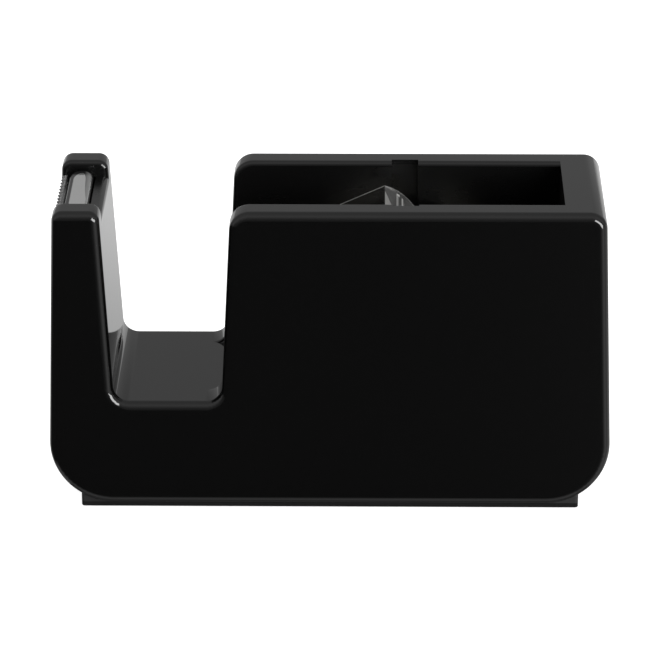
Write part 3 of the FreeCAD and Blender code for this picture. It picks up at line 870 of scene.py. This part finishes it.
@dataclass
class Cutter:
    """The holder, the landing bar and the serrated blade on top of the tower."""

    copyist: Copyist
    thickness: float = 0.0005
    bend_radius: float = 0.0007
    bend_steps: int = 6
    tooth_length: float = 0.00125
    teeth: int = 13
    tip_land: float = 0.06
    lip_fall_deg: float = 17.5
    rest_edge: float = 0.0006
    rest_end: float = 0.004
    round_steps: int = 10
    round_facets: int = 96

    def build(self) -> None:
        """Finish the holder and the bar, and make the blade anew."""
        self.copyist.copy("blade_holder", "blade_block", "base", "plate_black", PLATE_BLACK, Edge.MOULDED)
        bar = self.rest()
        bar.data.materials.append(BAR_STEEL.build())
        self.copyist.enrol(bar, "base", "bright_steel", "landing_bar")
        blade = self.blade()
        self.copyist.weigh_normals(blade)
        self.copyist.enrol(blade, "base", "blade_steel", "cutter_blade")

    def rest(self) -> Object:
        """The bar that the tape's end lies on, with elliptical ends and softly rounded upper edges.

        Returns:
            The bar.
        """
        low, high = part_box("landing_bar")
        loops = [(0.0, low.z)]
        for i in range(self.round_steps + 1):
            angle = pi / 2 * i / self.round_steps
            loops.append((self.rest_edge * (1 - cos(angle)),
                          high.z - self.rest_edge * (1 - sin(angle))))
        made = bmesh.new()
        rings = []
        for inset, z in loops:
            rings.append([])
            for i in range(self.round_facets):
                angle = 2 * pi * i / self.round_facets
                x = (BAR_HALF.x - inset) * cos(angle)
                y = (self.rest_end - inset) * sin(angle)
                y += copysign(BAR_HALF.y - self.rest_end, y)
                rings[-1].append(made.verts.new((BAR_MIDDLE.x + x, BAR_MIDDLE.y + y, z)))
        skin(made, rings)
        made.faces.new(rings[0][::-1])
        made.faces.new(rings[-1])
        bmesh.ops.recalc_face_normals(made, faces=made.faces)
        return self.copyist.finish("tape_rest", made)

    def strip(self) -> tuple[bpy.types.Mesh, Vector, Vector]:
        """The bent strip without its teeth.

        Returns:
            The mesh, the middle of its cutting edge and the direction in which the teeth point.
        """
        low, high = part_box("cutter_blade")
        fall = radians(self.lip_fall_deg)
        ahead = Vector((-cos(fall), 0, sin(fall)))
        tip = Vector((low.x, 0, high.z - self.thickness / 2))
        edge = tip - ahead * self.tooth_length
        back = Vector((high.x - self.thickness / 2, 0, 0))
        turn = pi / 2 - fall
        reach = (back.x - edge.x) / cos(fall)
        corner = edge - ahead * reach
        lead = self.bend_radius * tan(turn / 2)
        start = corner + Vector((0, 0, -lead))
        hub = start + Vector((-self.bend_radius, 0, 0))
        line = [Vector((back.x, 0, low.z)), start]
        for i in range(1, self.bend_steps + 1):
            angle = turn * i / self.bend_steps
            line.append(hub + Vector((cos(angle), 0, sin(angle))) * self.bend_radius)
        line.append(edge)
        made = bmesh.new()
        rings = []
        for i, point in enumerate(line):
            before, after = line[max(i - 1, 0)], line[min(i + 1, len(line) - 1)]
            across = (after - before).normalized().cross(Vector((0, 1, 0))) * (self.thickness / 2)
            outside, inside = point + across, point - across
            rings.append([made.verts.new((spot.x, y, spot.z)) for spot, y in (
                (outside, low.y), (outside, high.y), (inside, high.y), (inside, low.y))])
        skin(made, rings)
        for cap in (rings[0], rings[-1]):
            made.faces.new(cap)
        return settled(made, "blade_strip"), edge, ahead

    def blade(self) -> Object:
        """The strip with a row of ground teeth along its lip.

        Returns:
            The blade.
        """
        mesh, edge, ahead = self.strip()
        low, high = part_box("cutter_blade")
        pitch = (high.y - low.y) / self.teeth
        grown = GrownMesh("serrated_blade", mesh, {
            "Pitch": pitch, "Teeth": float(self.teeth), "Tooth Length": self.tooth_length,
            "Thickness": self.thickness})
        bench, size = grown.start()
        tooth = bench.node("GeometryNodeMeshCone", {}, {
            "Vertices": 4, "Radius Top": self.tip_land, "Radius Bottom": sqrt(0.5), "Depth": 1.0})
        turned = bench.node("GeometryNodeTransform", {}, {
            "Geometry": tooth, "Rotation": (0.0, 0.0, radians(45))})
        scale = bench.node("ShaderNodeCombineXYZ", {}, {
            0: size["Thickness"], 1: size["Pitch"], 2: size["Tooth Length"]})
        row = bench.node("GeometryNodeMeshLine", {"mode": "OFFSET"}, {
            "Count": size["Teeth"], "Start Location": tuple(edge + Vector((0, low.y + pitch / 2, 0))),
            "Offset": (0.0, pitch, 0.0)})
        lean = ahead.to_track_quat("Z", "Y").to_euler()
        teeth = bench.node("GeometryNodeInstanceOnPoints", {}, {
            "Points": row, "Instance": turned, "Rotation": tuple(lean), "Scale": scale})
        blade = grown.grow(bench, size["Seed"], teeth, BLADE_STEEL)
        blade.data.set_sharp_from_angle(angle=radians(self.copyist.sharp_deg))
        return blade


@dataclass
class Roll:
    """The loose axle, the spool, the core, the wound tape and its free end."""

    copyist: Copyist
    rings: int = 44
    ring_facets: int = 144
    ring_share: float = 0.82
    unevenness: float = 0.012
    seed: int = 7
    side_relief: float = 0.00018
    crease_back: float = 0.005
    side_facing: float = 0.7

    def build(self) -> None:
        """Finish the spool and its axle, and wind the tape."""
        copy = self.copyist.copy
        copy("hub_axle", "loose_axle", "axle", "hub_black", HUB_BLACK, Edge.CUT)
        for node in ("spool_near", "spool_far"):
            copy(node, node + "_half", "roll", "hub_black", HUB_BLACK, Edge.MOULDED)
        copy("tape_core", "core_ring", "roll", "core_white", CORE_WHITE, Edge.MOULDED)
        wound = self.winding()
        self.copyist.weigh_normals(wound)
        self.copyist.enrol(wound, "roll", "tape_clear", "tape_roll")
        self.free_end()

    def barrel(self, inner: float, outer: float, half: float) -> bpy.types.Mesh:
        """The solid body of the wound tape, a plain ring about Y.

        Args:
            inner: Its bore radius.
            outer: Its outer radius.
            half: Half its width.

        Returns:
            The mesh.
        """
        made = bmesh.new()
        circles = []
        turns = [2 * pi * i / self.ring_facets for i in range(self.ring_facets)]
        for radius, y in ((inner, -half), (outer, -half), (outer, half), (inner, half)):
            circles.append([made.verts.new((AXLE[0] + radius * cos(turn), y,
                                            AXLE[2] + radius * sin(turn))) for turn in turns])
        skin(made, circles + circles[:1])
        return settled(made, "wound_body")

    def winding(self) -> Object:
        """Many turns of film whose edges stand a little in or out, round a plain barrel.

        Returns:
            The wound tape.
        """
        outer, half, _ = spread("tape_roll")[1]
        inner = spread("tape_core")[1].x
        step = (outer - inner) / self.rings
        grown = GrownMesh("wound_tape", self.barrel(inner, outer, half - self.side_relief), {
            "Inner Radius": inner, "Step": step, "Half Width": half, "Unevenness": self.unevenness})
        bench, size = grown.start()
        circle = bench.node("GeometryNodeCurvePrimitiveCircle", {}, {
            "Resolution": self.ring_facets, "Radius": 1.0})
        section = bench.node("GeometryNodeCurvePrimitiveQuadrilateral", {}, {
            "Width": self.ring_share * step / outer, "Height": 2.0})
        ring = bench.node("GeometryNodeCurveToMesh", {}, {"Curve": circle, "Profile Curve": section})
        upright = bench.node("GeometryNodeTransform", {}, {
            "Geometry": ring, "Rotation": (radians(90), 0.0, 0.0)})
        points = bench.node("GeometryNodeMeshLine", {"mode": "OFFSET"}, {
            "Count": self.rings, "Start Location": tuple(AXLE), "Offset": (0.0, 0.0, 0.0)})
        index = bench.out(bench.node("GeometryNodeInputIndex", {}, {}))
        radius = size["Inner Radius"] + (index + 0.5) * size["Step"]
        jitter = bench.node("FunctionNodeRandomValue", {"data_type": "FLOAT"}, {"Seed": self.seed})
        depth = size["Half Width"] * (1.0 - size["Unevenness"] * bench.out(jitter, 1))
        scale = bench.node("ShaderNodeCombineXYZ", {}, {0: radius, 1: depth, 2: radius})
        turns = bench.node("GeometryNodeInstanceOnPoints", {}, {
            "Points": points, "Instance": upright, "Scale": scale})
        wound = grown.grow(bench, size["Seed"], turns, TAPE_WOUND)
        wound.data.shade_smooth()
        wound.data.set_sharp_from_angle(angle=radians(self.copyist.sharp_deg))
        return wound

    def free_end(self) -> None:
        """The loose end, with its cut edges told apart from its broad faces."""
        film = LooseFilm("loose_film", (0.2, 0.2, 0.196), 0.12, ior=1.47, crease_x=AXLE[0] - self.crease_back)
        tail = self.copyist.copy("tape_tail", "free_tape_end", "roll", "tape_film", film)
        tail.data.materials.append(TAPE_EDGE.build())
        for face in tail.data.polygons:
            face.material_index = int(abs(face.normal.y) > self.side_facing)


# ---- studio
@dataclass(frozen=True)
class Camera:
    """A long lens, a little above the dispenser and square to its broad side."""

    elevation_deg: float = 24.267
    swing_deg: float = 0.778
    roll_deg: float = -0.128
    distance: float = 0.9358
    target: Triple = (-0.000125, 0.0, 0.039064)
    lens: float = 203.04
    sensor: float = 36.0
    clip: Pair = (0.01, 50.0)

    def build(self) -> None:
        """Place the camera and make it the scene's."""
        data = bpy.data.cameras.new("view")
        data.lens, data.sensor_width = self.lens, self.sensor
        data.clip_start, data.clip_end = self.clip
        camera = put("view", data)
        ahead = -toward(self.swing_deg, self.elevation_deg)
        swing = radians(self.swing_deg)
        right = Vector((cos(swing), sin(swing), 0.0))
        up = right.cross(ahead)
        turn = radians(self.roll_deg)
        right, up = right * cos(turn) + up * sin(turn), up * cos(turn) - right * sin(turn)
        frame_of_view = Matrix((right, up, -ahead)).transposed().to_4x4()
        frame_of_view.translation = Vector(self.target) - ahead * self.distance
        camera.matrix_world = frame_of_view
        bpy.context.scene.camera = camera


@dataclass(frozen=True)
class Softbox:
    """A rectangular lamp that faces a point, mirrored by gloss, or a light on matt surfaces, or both."""

    name: str
    azimuth_deg: float
    elevation_deg: float
    distance: float
    size: Pair
    radiance: float
    mirrored: bool = True
    lights: bool = True
    roll_deg: float = 0.0
    aim: Triple = (0.0, 0.0, 0.05)

    def build(self) -> None:
        """Hang the lamp."""
        data = bpy.data.lights.new(self.name, "AREA")
        data.shape = "RECTANGLE"
        data.size, data.size_y = self.size
        data.energy = self.radiance * pi * self.size[0] * self.size[1]
        lamp = put(self.name, data)
        lamp.visible_glossy = self.mirrored
        lamp.visible_diffuse = self.lights
        away = toward(self.azimuth_deg, self.elevation_deg)
        lamp.matrix_world = Matrix.Translation(Vector(self.aim) + away * self.distance) @ \
            away.to_track_quat("Z", "Y").to_matrix().to_4x4() @ \
            Matrix.Rotation(radians(self.roll_deg), 4, "Z")


@dataclass
class Studio:
    """A graded tent, a pale floor, one lamp that only gloss mirrors and two that only light matt surfaces."""

    tent: tuple[Pair, ...] = (
        (0.0, 0.40), (0.135, 0.41), (0.19, 0.41), (0.31, 0.43), (0.40, 0.49), (0.49, 0.56), (0.57, 0.66),
        (0.65, 0.75), (0.70, 0.66), (0.79, 0.41), (0.86, 0.26), (0.92, 0.19), (1.0, 0.15))
    around: tuple[Pair, ...] = (
        (0.0, 0.5), (0.16, 0.5), (0.2, 0.05), (0.5, 0.035), (0.507, 0.045), (0.513, 0.08), (0.566, 0.13),
        (0.606, 0.4), (0.64, 0.74), (0.68, 0.88), (0.722, 0.42), (0.77, 0.7), (0.83, 0.75), (1.0, 0.5))
    floor_reach: float = 6.0
    floor_tone: float = 0.9
    floor_glow: float = 0.85
    floor_gloss_loss: float = 0.85
    clear_front: Pair = (-0.0255, -0.0315)
    clear_side: Pair = (0.080, 0.085)
    clear_back: Pair = (0.032, 0.022)
    under_half: Pair = (0.069, 0.0243)
    under_fade: float = 0.001
    # painted shadow: the floor as glossy rays see it is this dark under the dispenser's footprint
    painted_shadow_tone: float = 0.08
    # painted shade: the floor as glossy rays see it starts darker next to the dispenser and steps up in
    # brightness further away
    mirror_tone: float = 0.30
    mirror_steps: tuple[Triple, ...] = ((-0.01, 0.092, 0.24), (0.092, 0.18, 0.22), (-0.02, -0.026, 0.24))
    lamps: tuple[Softbox, ...] = (
        Softbox("front_right_shine", 43.0, 13.5, 1.2, (0.98, 0.54), 12.5, roll_deg=-45.0, lights=False),
        Softbox("front_right_lamp", 38.0, 8.0, 1.2, (0.48, 0.44), 13.0, mirrored=False),
        Softbox("overhead_lamp", 170.0, 72.0, 1.2, (0.9, 0.9), 1.0, mirrored=False),
    )

    def build(self) -> None:
        """Light the dispenser and lay the floor."""
        bpy.context.scene.view_settings.view_transform = "Standard"
        for lamp in self.lamps:
            lamp.build()
        self.world()
        self.floor()

    def world(self) -> None:
        """The tent, graded from back to front over the top and round below, and plain white to the camera."""
        world = bpy.data.worlds.new("tent")
        world.use_nodes = True
        bpy.context.scene.world = world
        bench = Bench(world.node_tree)
        x, y, z = bench.axes(bench.out(bench.node("ShaderNodeTexCoord", {}, {}), "Generated"))
        rise = z.angle(y) / pi
        azimuth = x.angle(y * -1.0) / (2 * pi) + 0.5
        above = bench.node("ShaderNodeValToRGB", {"stops": self.tent}, {0: rise})
        level = bench.node("ShaderNodeValToRGB", {"stops": self.around}, {0: azimuth})
        tone = bench.between(z.below(0.0), above, level)
        shade = bench.between(bench.rays()[0], tone, (1.0, 1.0, 1.0))
        glow = bench.node("ShaderNodeBackground", {}, {"Color": shade, "Strength": 1.0})
        bench.node("ShaderNodeOutputWorld", {}, {"Surface": glow})

    def floor(self) -> None:
        """A pale floor that gloss shows graded behind the dispenser, with painted shadow under it and painted
        shade near it, and sees through in front and beside.
        """
        mesh = bpy.data.meshes.new("floor")
        half = self.floor_reach / 2
        corners = [(-half, -half, 0), (half, -half, 0), (half, half, 0), (-half, half, 0)]
        mesh.from_pydata(corners, [], [(0, 1, 2, 3)])
        material = bpy.data.materials.new("pale_floor")
        material.use_nodes = True
        bench = Bench(material.node_tree)
        seen, glossy = bench.rays()
        x, y, _ = bench.axes(bench.place())
        aside, depth = (x * x) ** 0.5, (y * y) ** 0.5
        beside = aside.stepped(*self.clear_side) * y.stepped(*self.clear_back)
        cleared = y.stepped(*self.clear_front).most(beside)
        fade = self.under_fade
        under = depth.stepped(self.under_half[1] + fade, self.under_half[1] - fade)
        under = under * aside.stepped(self.under_half[0] + fade, self.under_half[0] - fade)
        behind: Any = self.mirror_tone
        for start, end, added in self.mirror_steps:
            behind = behind + y.stepped(start, end) * added
        mirrored = behind + under * (self.painted_shadow_tone - behind)
        tone = self.floor_tone * (1.0 - glossy * self.floor_gloss_loss)
        shade = bench.node("ShaderNodeCombineColor", {}, {0: tone, 1: tone, 2: tone})
        matt = bench.node("ShaderNodeBsdfDiffuse", {}, {"Color": shade})
        glow = bench.node("ShaderNodeEmission", {}, {
            "Color": (1.0, 1.0, 1.0), "Strength": seen * self.floor_glow + glossy * mirrored})
        both = bench.node("ShaderNodeAddShader", {}, {0: matt, 1: glow})
        clear = bench.node("ShaderNodeBsdfTransparent", {}, {})
        mixed = bench.node("ShaderNodeMixShader", {}, {0: glossy * cleared, 1: both, 2: clear})
        bench.node("ShaderNodeOutputMaterial", {}, {"Surface": mixed})
        mesh.materials.append(material)
        put("floor", mesh)


def main() -> None:
    """Build every sub-assembly in order, then the studio."""
    logging.basicConfig(level=logging.INFO, format="%(name)s: %(message)s")
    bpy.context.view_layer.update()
    Camera().build()
    copyist = Copyist()
    for assembly in (Housing(copyist), Cutter(copyist), Roll(copyist), Studio()):
        assembly.build()


if __name__ == "__main__":
    main()
